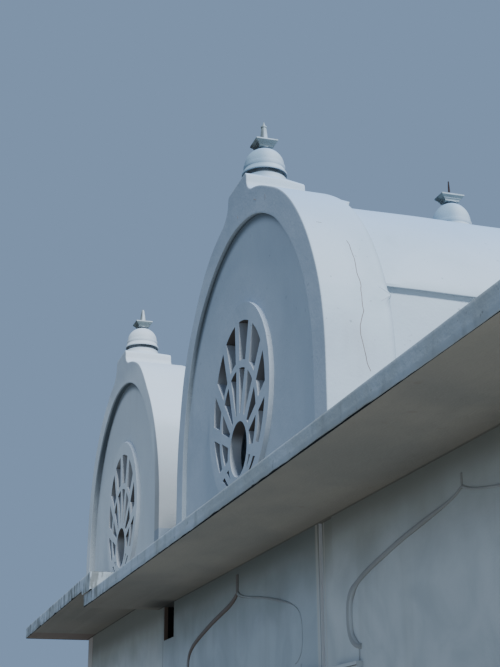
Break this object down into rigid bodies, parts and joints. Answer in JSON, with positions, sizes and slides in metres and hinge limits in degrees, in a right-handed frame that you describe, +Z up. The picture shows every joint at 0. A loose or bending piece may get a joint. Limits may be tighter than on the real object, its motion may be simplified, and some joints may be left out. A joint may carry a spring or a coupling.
{
  "type": "temple hall",
  "caption": "Long plastered temple hall with wide eaves and relief arches; its roof carries barrel vaults whose arched gables hold pierced rosettes and stupa-shaped finials.",
  "frame": {"origin": "on the ground, under the middle of the roof's outline", "axes": "+X along the front to the right, +Y from the front to the rear, +Z up; the front faces -Y"},
  "size_m": [24.103, 6.78, 9.9086],
  "materials": {
    "lime_plaster": "matt white lime paint over plaster",
    "wall_plaster": "matt greyed lime paint over plaster",
    "slab_render": "weathered cement render",
    "floor_concrete": "plain concrete"
  },
  "bodies": {
    "root": {"floor": "floor_concrete", "front_door_head_wall": "wall_plaster", "front_door_wall_left": "wall_plaster", "front_door_wall_right": "wall_plaster", "front_finial_1_bell": "lime_plaster", "front_finial_1_harmika": "lime_plaster", "front_finial_2_bell": "lime_plaster", "front_finial_2_harmika": "lime_plaster", "front_niche_wall": "wall_plaster", "front_portal_arch_1": "lime_plaster", "front_portal_arch_2": "lime_plaster", "front_relief_arch_1": "wall_plaster", "front_relief_arch_2": "wall_plaster", "front_slotted_wall": "wall_plaster", "front_tympanum_1": "lime_plaster", "front_tympanum_2": "lime_plaster", "front_wing_wall": "wall_plaster", "hall_end_wall": "wall_plaster", "hall_roof_slab": "slab_render", "rear_door_head_wall": "wall_plaster", "rear_door_wall_left": "wall_plaster", "rear_door_wall_right": "wall_plaster", "rear_finial_1_bell": "lime_plaster", "rear_finial_1_harmika": "lime_plaster", "rear_finial_2_bell": "lime_plaster", "rear_finial_2_harmika": "lime_plaster", "rear_niche_wall": "wall_plaster", "rear_portal_arch_1": "lime_plaster", "rear_portal_arch_2": "lime_plaster", "rear_relief_arch_1": "wall_plaster", "rear_relief_arch_2": "wall_plaster", "rear_slotted_wall": "wall_plaster", "rear_tympanum_1": "lime_plaster", "rear_tympanum_2": "lime_plaster", "rear_wing_wall": "wall_plaster", "ridge_finial_1_bell": "lime_plaster", "ridge_finial_1_harmika": "lime_plaster", "ridge_finial_2_bell": "lime_plaster", "ridge_finial_2_harmika": "lime_plaster", "vault_1": "lime_plaster", "vault_2": "lime_plaster", "wing_end_wall": "wall_plaster", "wing_roof_slab": "slab_render"}
  },
  "joints": []
}
